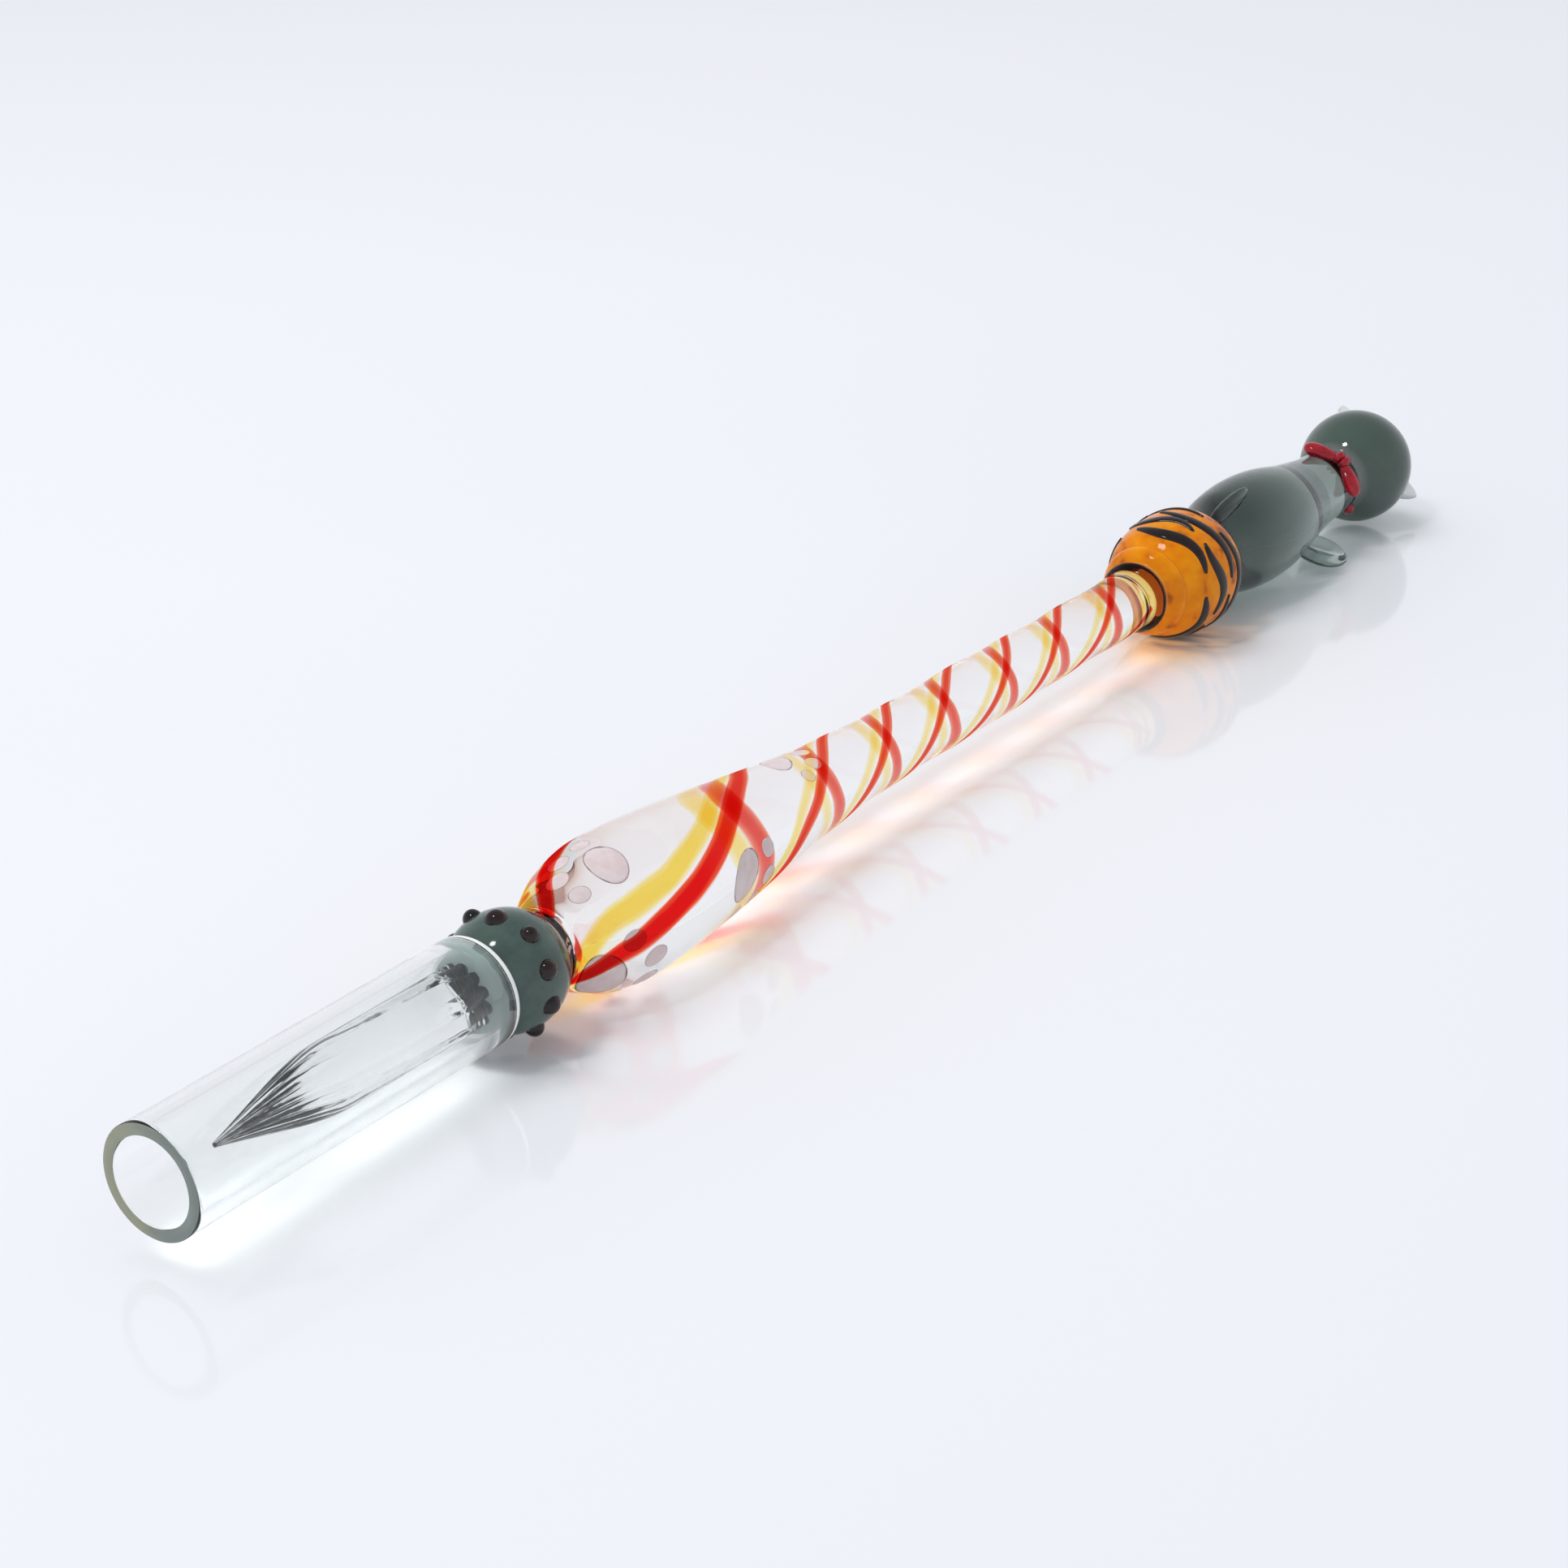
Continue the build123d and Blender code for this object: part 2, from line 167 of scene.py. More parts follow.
# The lip's middle and what lies inside it, as station and radius.
LIP_CENTRE = (158.0, 5.5)
LIP_R = 0.6
LIP_ARC = (0.3, math.pi * 0.75)
BELL_HOLLOW = ((157.9, 4.9), (157.4, 4.45))
# Station, number of stripes round the bell, degrees that each runs, and clock of the first one.
STRIPE_ROWS = ((151.2, 3, 96, 20), (153.2, 4, 74, 62), (155.1, 3, 104, 5), (156.7, 3, 98, 70))
STRIPE_STEPS = 60
STRIPE_WAVE = 0.42
STRIPE_BENDS = 6.5
STRIPE_SHIFT = 1.9
STRIPE_WIDTHS = (0.3, 1.4)
STRIPE_PROUD = 0.16
STRIPE_SUNK = 0.35

CAT_ROLL = 36.0
HEAD_ROLL = 44.0
CAT_PROFILE = (
    (157.2, 4.2), (162.0, 4.8), (166.0, 5.72), (170.2, 6.08), (174.6, 5.8), (180.0, 4.75),
    (185.4, 3.98), (188.4, 3.84), (189.7, 3.72), (190.4, 3.4), (190.8, 3.35),
)
CAT_START = CAT_PROFILE[0][0]
CAT_END = CAT_PROFILE[-1][0]
HEAD_CENTRE = 196.21
HEAD_R = 6.35
HEAD_START = 191.0

SIDES = (("left", 1), ("right", -1))
# Places on the cat are a station, then millimetres to its left and towards its back. A drop has
# two of them and a section, its half width and half thickness; a bead has one and half sizes.
BOW_STATION = 187.8
BOW_LOOP = ((BOW_STATION - 0.1, 0.3, 4.25), (BOW_STATION - 1.3, 4.1, 3.0))
BOW_LOOP_SECTION = (1.18, 0.94)
BOW_KNOT = (BOW_STATION, 0.42, 4.3)
BOW_KNOT_SIZES = (0.92, 0.56, 0.8)
COLLAR_BEAD = (190.0, -3.4, -0.9)
COLLAR_BEAD_SIZES = (0.7, 0.9, 0.75)
EAR = ((HEAD_CENTRE + 3.0, 3.0, 0.0), (HEAD_CENTRE + 6.0, 6.75, 0.1))
EAR_SECTION = (2.0, 1.3)
HIND_PAW = ((161.4, 2.2, -3.9), (166.4, 3.0, -5.6))
FRONT_PAW = ((181.6, 1.4, -3.4), (186.6, 1.2, -4.4))
PAW_SECTION = (1.0, 1.3)
TAIL = ((158.9, 1.2, 4.4), (167.6, 2.3, 5.65))
TAIL_SECTION = (0.85, 0.62)
# The raised paw has its places as a station, then millimetres along Y and Z from the pen's axis.
PADDLE = ((182.0, -0.5, -4.0), (179.6, -6.6, -5.8))
PADDLE_SECTION = (3.1, 0.85)
# Parts of the face: tilt from the pen's axis towards the belly, height of the middle above the
# head's surface, and half sizes.
EYE = (12, -0.25, (0.6, 0.6, 0.6))
EYE_ASIDE = 2.3
MUZZLE = (33, -0.3, (0.65, 1.0, 1.4))
NOSE = (28, 0.22, (0.3, 0.35, 0.5))

GLASS_IOR = 1.47
FLOOR_REACH = 3.0
FLOOR_GAP = 0.05 * MM


# ---------------------------------------------------------------- geometry
def radial(clock):
    """Unit vector pointing away from the axis."""
    angle = math.radians(clock)
    return Vector((0.0, -math.cos(angle), math.sin(angle)))


def frame_x(station):
    """Object X in millimetres at a station."""
    return MOUTH_X / MM + station


def at(station, clock=0.0, distance=0.0):
    """Point in the frame, in metres."""
    axis_point = Vector((MOUTH_X + station * MM, 0.0, AXIS_Z))
    return axis_point + radial(clock) * (distance * MM)


def hermite(points, x):
    """Smooth curve through (x, y) points, with slopes from their neighbours."""
    if x <= points[0][0]:
        return points[0][1]
    if x >= points[-1][0]:
        return points[-1][1]
    i = 0
    while points[i + 1][0] < x:
        i += 1

    def slope(k):
        low = points[max(k - 1, 0)]
        high = points[min(k + 1, len(points) - 1)]
        return (high[1] - low[1]) / (high[0] - low[0])

    (x0, y0), (x1, y1) = points[i], points[i + 1]
    width = x1 - x0
    t = (x - x0) / width
    rise = (2 * t ** 3 - 3 * t ** 2 + 1) * y0 + (3 * t ** 2 - 2 * t ** 3) * y1
    return rise + width * ((t ** 3 - 2 * t ** 2 + t) * slope(i) + (t ** 3 - t ** 2) * slope(i + 1))


def samples(start, end, count):
    """Evenly spaced values from start to end."""
    return [start + (end - start) * i / count for i in range(count + 1)]


def add_piece(name, mesh_data, body, slot_name, material, *nodes):
    """Makes the object for a piece, lets it ride on its body and stand for its CAD nodes."""
    obj = bpy.data.objects.new(name, mesh_data)
    bpy.context.scene.collection.objects.link(obj)
    mesh_data.materials.append(material)
    for polygon in mesh_data.polygons:
        polygon.use_smooth = True
    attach(obj, body)
    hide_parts(*nodes)


def mesh_from(name, vertices, faces):
    data = bpy.data.meshes.new(name)
    data.from_pydata(vertices, [], faces)
    data.validate()
    return data


def face_outwards(data):
    """Points every face outwards."""
    bm = bmesh.new()
    bm.from_mesh(data)
    bmesh.ops.recalc_face_normals(bm, faces=bm.faces)
    bm.to_mesh(data)
    bm.free()
    return data


def turned_mesh(name, outline, segments=160, wobble=None):
    """Closed solid of revolution through (station, radius) points; wobble adds to the radius."""
    vertices = [at(outline[0][0])]
    for station, radius in outline:
        for j in range(segments):
            clock = 360 * j / segments
            extra = wobble(station, clock) if wobble else 0.0
            vertices.append(at(station, clock, radius + extra))
    vertices.append(at(outline[-1][0]))
    faces = []
    last = len(vertices) - 1
    last_row = last - segments
    for j in range(segments):
        k = (j + 1) % segments
        faces.append((0, 1 + k, 1 + j))
        faces.append((last, last_row + j, last_row + k))
        for i in range(len(outline) - 1):
            low = 1 + i * segments
            high = low + segments
            faces.append((low + j, low + k, high + k, high + j))
    return face_outwards(mesh_from(name, vertices, faces))


def ring_mesh(name, outline, segments=192):
    """Closed ring of revolution: the outline is a loop of (station, radius) points."""
    vertices = []
    faces = []
    count = len(outline)
    for station, radius in outline:
        for j in range(segments):
            vertices.append(at(station, 360 * j / segments, radius))
    for i in range(count):
        low = i * segments
        high = (i + 1) % count * segments
        for j in range(segments):
            k = (j + 1) % segments
            faces.append((low + j, low + k, high + k, high + j))
    return face_outwards(mesh_from(name, vertices, faces))


def ribbon_mesh(name, centres, widths, surface, proud, sunk, across=8):
    """Lens-shaped thread on a surface, along (station, clock) points, with UVs across and along."""
    rows = []
    last = len(centres) - 1
    for i, (station, clock) in enumerate(centres):
        before = centres[max(i - 1, 0)]
        after = centres[min(i + 1, last)]
        level = surface(station, clock)
        along_s = after[0] - before[0]
        along_c = math.radians(after[1] - before[1]) * level
        size = math.hypot(along_s, along_c)
        half = widths[i] / 2
        row = []
        over = [(2 * j / across - 1, proud) for j in range(across + 1)]
        under = [(1 - 2 * j / across, -sunk) for j in range(1, across)]
        for u, height in over + under:
            s = station + u * half * along_c / size
            c = clock - math.degrees(u * half * along_s / size / level)
            dome = math.sqrt(max(1 - u * u, 0.0))
            row.append((at(s, c, surface(s, c) + height * dome), u))
        rows.append(row)
    width = len(rows[0])
    vertices = [point for row in rows for point, _ in row]
    faces = []
    for i in range(last):
        low = i * width
        high = low + width
        for j in range(width):
            k = (j + 1) % width
            faces.append((low + j, low + k, high + k, high + j))
    faces.append(tuple(range(width)))
    faces.append(tuple(last * width + j for j in range(width)))
    data = face_outwards(mesh_from(name, vertices, faces))
    layer = data.uv_layers.new(name="UVMap")
    for polygon in data.polygons:
        for loop in polygon.loop_indices:
            row, column = divmod(data.loops[loop].vertex_index, width)
            u = rows[row][column][1]
            layer.data[loop].uv = ((u + 1) / 2, row / last)
    return data


def merged(name, parts):
    """One mesh made of several, which it uses up."""
    bm = bmesh.new()
    for data in parts:
        bm.from_mesh(data)
    result = bpy.data.meshes.new(name)
    bm.to_mesh(result)
    bm.free()
    for data in parts:
        bpy.data.meshes.remove(data)
    return result


def blob_mesh(name, centre, x_axis, z_axis, sizes, shape=None, rings=24, segments=40):
    """Ellipsoid about a centre; shape(t) rescales its section from one end (0) to the other (1)."""
    x_axis = x_axis.normalized()
    y_axis = z_axis.cross(x_axis).normalized()
    z_axis = x_axis.cross(y_axis)
    a, b, c = (size * MM for size in sizes)
    vertices = [centre - x_axis * a]
    for i in range(1, rings):
        angle = math.pi * i / rings
        share = shape(i / rings) if shape else 1.0
        for j in range(segments):
            turn = 2 * math.pi * j / segments
            section = y_axis * (b * math.cos(turn)) + z_axis * (c * math.sin(turn))
            middle = centre - x_axis * (a * math.cos(angle))
            vertices.append(middle + section * (math.sin(angle) * share))
    vertices.append(centre + x_axis * a)
    faces = []
    last = len(vertices) - 1
    for j in range(segments):
        k = (j + 1) % segments
        faces.append((0, 1 + j, 1 + k))
        faces.append((last, last - segments + k, last - segments + j))
        for i in range(rings - 2):
            low = 1 + i * segments
            high = low + segments
            faces.append((low + j, high + j, high + k, low + k))
    return face_outwards(mesh_from(name, vertices, faces))


def grip_radius(station, clock):
    """Grip's radius: a turned profile with the faint ridge that the twisting leaves."""
    stem = min(max((station - RIDGE_START) / (RIDGE_FULL - RIDGE_START), 0.0), 1.0)
    ridge = math.cos(math.radians(THREADS_OF_A_COLOUR * (clock - hermite(RED_PATH, station))))
    return hermite(GRIP_PROFILE, station) + RIDGE_HEIGHT * stem * ridge


# ---------------------------------------------------------------- materials
class Nodes:
    """Short way to build a material's node tree."""

    def __init__(self, name):
        self.material = bpy.data.materials.new(name)
        self.material.use_nodes = True
        self.tree = self.material.node_tree
        self.tree.nodes.clear()
        self.output = self.add("ShaderNodeOutputMaterial")

    def add(self, kind, inputs=None, **settings):
        node = self.tree.nodes.new(kind)
        for key, value in settings.items():
            setattr(node, key, value)
        for key, value in (inputs or {}).items():
            self.plug(node.inputs[key], value)
        return node

    def plug(self, socket, value):
        """Links another node's output, or sets a plain value."""
        if isinstance(value, bpy.types.NodeSocket):
            self.tree.links.new(value, socket)
        elif socket.type == "RGBA":
            socket.default_value = (*value, 1.0)
        else:
            socket.default_value = value

    def position(self):
        """Place on the object, in millimetres."""
        coordinates = self.add("ShaderNodeTexCoord").outputs["Object"]
        per_metre = (1000.0, 1000.0, 1000.0)
        return self.add(
            "ShaderNodeVectorMath", {0: coordinates, 1: per_metre}, operation="MULTIPLY"
        ).outputs[0]

    def noise(self, vector, scale, detail=2.0, roughness=0.5):
        return self.add(
            "ShaderNodeTexNoise",
            {"Vector": vector, "Scale": scale, "Detail": detail, "Roughness": roughness},
        ).outputs["Fac"]

    def ramp(self, value, stops):
        """Colour ramp through (position, colour) stops."""
        node = self.add("ShaderNodeValToRGB", {"Fac": value})
        elements = node.color_ramp.elements
        while len(elements) < len(stops):
            elements.new(0.5)
        for element, (position, colour) in zip(elements, stops):
            element.position = position
            element.color = (*colour, 1.0)
        return node.outputs["Color"]

    def remap(self, value, low, high, to_low, to_high):
        """Straight-line change of range, held at its ends."""
        return self.add(
            "ShaderNodeMapRange",
            {"Value": value, "From Min": low, "From Max": high, "To Min": to_low, "To Max": to_high},
        ).outputs["Result"]

    def between(self, start, end):
        """Grows from 0 to 1 between two stations."""
        along = self.split(self.position())[0]
        return self.remap(along, frame_x(start), frame_x(end), 0.0, 1.0)

    def math(self, operation, a, b=0.0):
        return self.add("ShaderNodeMath", {0: a, 1: b}, operation=operation).outputs[0]

    def mix(self, factor, a, b):
        node = self.add("ShaderNodeMix", data_type="RGBA")
        self.plug(node.inputs["Factor"], factor)
        self.plug(node.inputs[6], a)
        self.plug(node.inputs[7], b)
        return node.outputs[2]

    def bump(self, height, strength, distance):
        return self.add(
            "ShaderNodeBump", {"Height": height, "Strength": strength, "Distance": distance}
        ).outputs["Normal"]

    def split(self, vector):
        return self.add("ShaderNodeSeparateXYZ", {"Vector": vector}).outputs

    def finish(self, shader, volume=None):
        self.tree.links.new(shader, self.output.inputs["Surface"])
        if volume is not None:
            self.tree.links.new(volume, self.output.inputs["Volume"])
        return self.material


def let_lamps_through(n, shader, tint):
    """Lamps' rays pass straight through glass, tinted, so that it casts a pale shadow."""
    path = n.add("ShaderNodeLightPath")
    clear = n.add("ShaderNodeBsdfTransparent", {"Color": tint})
    mix = n.add("ShaderNodeMixShader", {"Fac": path.outputs["Is Shadow Ray"]})
    n.tree.links.new(shader, mix.inputs[1])
    n.tree.links.new(clear.outputs[0], mix.inputs[2])
    return mix.outputs[0]


def clear_glass(name, tint, lamp_tint, ripple_scale, roughness=0.0, ior=GLASS_IOR):
    """Polished clear glass with faint hand-made waviness."""
    n = Nodes(name)
    waves = n.noise(n.position(), ripple_scale, 1.0)
    glass = n.add(
        "ShaderNodeBsdfPrincipled",
        {
            "Base Color": tint,
            "Roughness": roughness,
            "IOR": ior,
            "Transmission Weight": 1.0,
            "Normal": n.bump(waves, 0.05, MM),
        },
    )
    return n.finish(let_lamps_through(n, glass.outputs[0], lamp_tint))


def tinted_glass(name, absorb, density, lamp_tint):
    """Coloured glass that darkens with its thickness."""
    n = Nodes(name)
    waves = n.noise(n.position(), 0.4, 1.0)
    glass = n.add(
        "ShaderNodeBsdfPrincipled",
        {
            "Base Color": (1.0, 1.0, 1.0),
            "Roughness": 0.0,
            "IOR": GLASS_IOR,
            "Transmission Weight": 1.0,
            "Normal": n.bump(waves, 0.05, MM),
        },
    )
    volume = n.add("ShaderNodeVolumeAbsorption", {"Color": absorb, "Density": density})
    return n.finish(let_lamps_through(n, glass.outputs[0], lamp_tint), volume.outputs[0])


def solid_glass(name, dark, light, scale, roughness, shine, front=None, back=None):
    """Nearly opaque glass: cloudy colour under a polished skin, with another tone at its ends."""
    n = Nodes(name)
    place = n.position()
    colour = n.ramp(n.noise(place, scale, 3.0, 0.6), ((0.32, dark), (0.68, light)))
    if front:
        station, tone = front
        colour = n.mix(n.between(station - 0.3, station + 0.3), tone, colour)
    if back:
        station, tone = back
        colour = n.mix(n.between(station - 0.1, station), colour, tone)
    skin = n.add(
        "ShaderNodeBsdfPrincipled",
        {
            "Base Color": colour,
            "Roughness": roughness,
            "IOR": 1.5,
            "Specular IOR Level": shine,
            "Normal": n.bump(n.noise(place, 0.8, 2.0), 0.02, MM),
        },
    )
    return n.finish(skin.outputs[0])


def amber_glass(name):
    """Honey-coloured glass: clear in the neck ring, full of colour in the step ring and the bell."""
    n = Nodes(name)
    swirls = n.noise(n.position(), 0.35, 2.0, 0.6)
    body = n.between(NECK_END - 0.05, NECK_END + 0.1)
    honey = n.ramp(
        swirls,
        ((0.32, (0.36, 0.085, 0.002)), (0.44, (0.84, 0.23, 0.002)), (0.7, (0.97, 0.36, 0.004))),
    )
    glass = n.add(
        "ShaderNodeBsdfPrincipled",
        {
            "Base Color": n.mix(body, (1.0, 0.84, 0.42), honey),
            "Roughness": 0.02,
            "IOR": 1.2,
            "Transmission Weight": n.remap(body, 0.0, 1.0, 1.0, 0.15),
            "Coat Weight": 0.08,
            "Coat Roughness": 0.02,
            "Normal": n.bump(swirls, 0.12, MM),
        },
    )
    volume = n.add("ShaderNodeVolumeAbsorption", {"Color": (0.985, 0.80, 0.05), "Density": 140.0})
    return n.finish(let_lamps_through(n, glass.outputs[0], (1.0, 0.86, 0.70)), volume.outputs[0])


def milky_glass(name, tone, clear):
    """Glass between clear and white."""
    n = Nodes(name)
    cloud = n.noise(n.position(), 0.5, 2.0)
    skin = n.add(
        "ShaderNodeBsdfPrincipled",
        {
            "Base Color": n.ramp(cloud, ((0.3, tone), (0.7, (0.92, 0.94, 0.93)))),
            "Roughness": 0.05,
            "IOR": 1.45,
            "Transmission Weight": clear,
            "Normal": n.bump(cloud, 0.05, MM),
        },
    )
    return n.finish(let_lamps_through(n, skin.outputs[0], (0.9, 0.9, 0.9)))


def thread_glass(name, bulb_core, bulb_edge, stem_core, stem_edge, lamp_tint):
    """Thread of coloured glass in the clear rod's skin, deep on the bulb and pale on the stem.

    It is one glass with the rod, so it bends no light (IOR 1) and only colours what passes.
    """
    n = Nodes(name)
    across, along, _ = n.split(n.add("ShaderNodeTexCoord").outputs["UV"])
    off_centre = n.math("ABSOLUTE", n.math("SUBTRACT", n.math("MULTIPLY", across, 2.0), 1.0))
    streak_place = n.add(
        "ShaderNodeCombineXYZ",
        {"X": n.math("MULTIPLY", across, 9.0), "Y": n.math("MULTIPLY", along, 14.0)},
    )
    streaks = n.noise(streak_place.outputs[0], 1.0, 2.0)
    reach = n.math("ADD", off_centre, n.math("MULTIPLY", n.math("SUBTRACT", streaks, 0.5), 0.35))
    white = (1.0, 1.0, 1.0)
    bulb = n.ramp(reach, ((0.5, bulb_core), (0.82, bulb_edge), (1.0, white)))
    stem = n.ramp(reach, ((0.3, stem_core), (0.8, stem_edge), (1.0, white)))
    skin = n.add(
        "ShaderNodeBsdfPrincipled",
        {
            "Base Color": n.mix(n.between(*DRAWN_OUT), bulb, stem),
            "Roughness": 0.0,
            "IOR": 1.0,
            "Transmission Weight": 1.0,
        },
    )
    return n.finish(let_lamps_through(n, skin.outputs[0], lamp_tint))


def cat_glass(name):
    """Smoky glass that darkens with thickness; the solid head is cloudier than the body, and the body's
    colour has painted shade, darker towards the bell.
    """
    n = Nodes(name)
    nape, head = 190.0, 191.4
    # Station and colour: from 158 to 184 the body is painted darker towards the bell, as painted shade
    # where it meets the bell; the head's tones are its own cloudy colour.
    tones_and_painted_shade = (
        (158.0, (0.30, 0.30, 0.30)), (163.0, (0.45, 0.45, 0.45)), (169.0, (0.66, 0.66, 0.66)),
        (177.0, (0.88, 0.88, 0.88)), (184.0, (1.0, 1.0, 1.0)), (nape, (1.0, 1.0, 1.0)),
        (head, (0.13, 0.19, 0.16)), (196.0, (0.095, 0.145, 0.12)), (202.5, (0.115, 0.17, 0.14)),
    )
    first, last = tones_and_painted_shade[0][0], tones_and_painted_shade[-1][0]
    stops = [((station - first) / (last - first), tone) for station, tone in tones_and_painted_shade]
    waves = n.noise(n.position(), 0.2, 1.0)
    glass = n.add(
        "ShaderNodeBsdfPrincipled",
        {
            "Base Color": n.ramp(n.between(first, last), stops),
            "Roughness": 0.0,
            "IOR": GLASS_IOR,
            "Transmission Weight": n.remap(n.between(nape, head), 0.0, 1.0, 1.0, 0.5),
            "Normal": n.bump(waves, 0.05, MM),
        },
    )
    volume = n.add("ShaderNodeVolumeAbsorption", {"Color": (0.44, 0.53, 0.49), "Density": 300.0})
    return n.finish(let_lamps_through(n, glass.outputs[0], (0.72, 0.74, 0.74)), volume.outputs[0])


def print_glass(name):
    """Pale lilac glass with a fine dark rim of painted shade; the mesh's UV runs from the middle to the
    rim.
    """
    n = Nodes(name)
    place = n.position()
    rim = n.split(n.add("ShaderNodeTexCoord").outputs["UV"])[0]
    grain = n.noise(place, 9.0, 2.0)
    cloud = n.noise(place, 0.9, 2.0)
    pale = n.ramp(cloud, ((0.35, (0.80, 0.66, 0.65)), (0.65, (0.84, 0.77, 0.78))))
    # Painted shade: a dark brown line is painted round the print's rim, where refraction darkens the edge
    # of a raised print.
    frayed = n.math("ADD", rim, n.math("MULTIPLY", n.math("SUBTRACT", cloud, 0.5), 0.35))
    edge = n.remap(frayed, 0.93, 1.03, 0.0, 0.8)
    grey = n.mix(n.math("MULTIPLY", grain, 0.3), pale, (0.62, 0.54, 0.55))
    skin = n.add(
        "ShaderNodeBsdfPrincipled",
        {
            "Base Color": n.mix(edge, grey, (0.22, 0.11, 0.09)),
            "Roughness": 0.1,
            "IOR": 1.02,
            "Transmission Weight": 0.18,
        },
    )
    return n.finish(let_lamps_through(n, skin.outputs[0], (0.8, 0.76, 0.77)))


def rim_glass(name, dark, light):
    """Melted edge of the glass wall, milky white."""
    n = Nodes(name)
    colour = n.ramp(n.noise(n.position(), 0.3, 2.0), ((0.3, light), (0.7, dark)))
    skin = n.add(
        "ShaderNodeBsdfPrincipled",
        {"Base Color": colour, "Roughness": 0.15, "IOR": GLASS_IOR, "Coat Weight": 0.2},
    )
    return n.finish(let_lamps_through(n, skin.outputs[0], (0.8, 0.82, 0.81)))


def tube_glass(name):
    """Clear glass wall whose sawn mouth is ground and shows the glass's own green."""
    n = Nodes(name)
    place = n.position()
    mouth = n.math("SUBTRACT", 1.0, n.between(0.03, 0.08))
    sideways = n.math("MULTIPLY", n.split(place)[1], 0.1)
    sway = n.math("ADD", sideways, n.noise(place, 0.3, 2.0))
    ground = n.ramp(sway, ((0.3, (0.42, 0.49, 0.45)), (0.75, (0.62, 0.66, 0.46))))
    glass = n.add(
        "ShaderNodeBsdfPrincipled",
        {
            "Base Color": n.mix(mouth, (0.98, 0.99, 0.985), ground),
            "Roughness": n.math("MULTIPLY", mouth, 0.45),
            "IOR": GLASS_IOR,
            "Transmission Weight": n.remap(mouth, 0.0, 1.0, 1.0, 0.55),
            "Normal": n.bump(n.noise(place, 0.12, 1.0), 0.02, MM),
        },
    )
    return n.finish(let_lamps_through(n, glass.outputs[0], (0.93, 0.94, 0.935)))


TUBE_GLASS = tube_glass("tube_glass")
MELTED_RIM_GLASS = rim_glass("melted_rim_glass", (0.85, 0.88, 0.86), (0.95, 0.96, 0.95))
GRIP_GLASS = clear_glass("grip_glass", (0.99, 0.99, 0.99), (0.84, 0.84, 0.84), ripple_scale=0.25)
NIB_GLASS = clear_glass(
    "nib_glass", (0.97, 0.975, 0.975), (0.84, 0.84, 0.84), ripple_scale=0.6, roughness=0.04, ior=1.4
)
AMBER_GLASS = amber_glass("amber_glass")
CAT_GLASS = cat_glass("cat_glass")
PAW_GLASS = tinted_glass("paw_glass", (0.45, 0.55, 0.52), 260.0, (0.85, 0.87, 0.87))
EAR_GLASS = milky_glass("ear_glass", (0.80, 0.84, 0.83), 0.5)
SMOKE_GLASS = solid_glass(
    "smoke_glass", (0.048, 0.080, 0.067), (0.078, 0.120, 0.102), scale=0.35, roughness=0.08, shine=0.4,
    front=(38.3, (0.24, 0.31, 0.29)), back=(45.75, (0.50, 0.09, 0.06)),
)
BLACK_GLASS = solid_glass(
    "black_glass", (0.006, 0.003, 0.003), (0.018, 0.006, 0.005), scale=0.8, roughness=0.03, shine=0.4
)
BOW_GLASS = solid_glass(
    "bow_glass", (0.20, 0.002, 0.008), (0.42, 0.005, 0.018), scale=0.7, roughness=0.05, shine=0.45
)
RED_GLASS = thread_glass(
    "red_glass",
    bulb_core=(0.84, 0.012, 0.012), bulb_edge=(0.97, 0.13, 0.05),
    stem_core=(0.86, 0.09, 0.055), stem_edge=(0.92, 0.28, 0.17), lamp_tint=(1.0, 0.78, 0.72),
)
YELLOW_GLASS = thread_glass(
    "yellow_glass",
    bulb_core=(1.0, 0.76, 0.14), bulb_edge=(1.0, 0.88, 0.42),
    stem_core=(1.0, 0.84, 0.40), stem_edge=(1.0, 0.93, 0.70), lamp_tint=(1.0, 0.95, 0.8),
)
PRINT_GLASS = print_glass("print_glass")


# ---------------------------------------------------------------- pieces
def make_tube():
    outer, inner = TUBE_OUTER_R, TUBE_INNER_R
    wall_start, wall_end = 0.5, TUBE_LENGTH - MELTED_LENGTH
    loop = [(0.0, inner + MOUTH_INNER_BEVEL), (0.0, outer - MOUTH_OUTER_BEVEL), (MOUTH_OUTER_BEVEL, outer)]
    loop += [(s, outer) for s in samples(wall_start, wall_end, 24)]
    loop += [(s, inner) for s in samples(wall_end, wall_start, 24)]
    loop += [(MOUTH_INNER_BEVEL, inner)]
    mesh = ring_mesh("tube_sleeve", loop)
    add_piece("tube_sleeve", mesh, "tube", "clear_tube_glass", TUBE_GLASS, "protective_tube")

    middle = (outer + inner) / 2
    reach = (outer - inner) / 2
    loop = [(wall_end, inner)]
    for angle in samples(math.pi, 0.0, 16):
        loop.append((TUBE_LENGTH - reach + reach * math.sin(angle), middle + reach * math.cos(angle)))
    loop.append((wall_end, outer))
    mesh = ring_mesh("tube_melted_rim", loop)
    add_piece("tube_melted_rim", mesh, "tube", "clear_tube_glass", MELTED_RIM_GLASS, "protective_tube")


def flute(station, clock):
    """How far the nib's skin lies under its profile: sharp grooves between round ribs."""
    depth = hermite(FLUTE_DEPTHS, station) * hermite(NIB_PROFILE, station)
    wave = abs(math.sin(math.radians(clock * FLUTES / 2 + FLUTE_TWIST * (station - NIB_TIP))))
    return -depth * (1 - wave) ** 1.5


def make_nib():
    outline = []
    for share in samples(0.0, 1.0, 120):
        station = NIB_TIP + (NIB_END - NIB_TIP) * share ** 1.15
        outline.append((station, hermite(NIB_PROFILE, station)))
    mesh = turned_mesh("nib_fluted", outline, 288, flute)
    add_piece("nib_fluted", mesh, "pen", "nib_glass", NIB_GLASS, "nib")


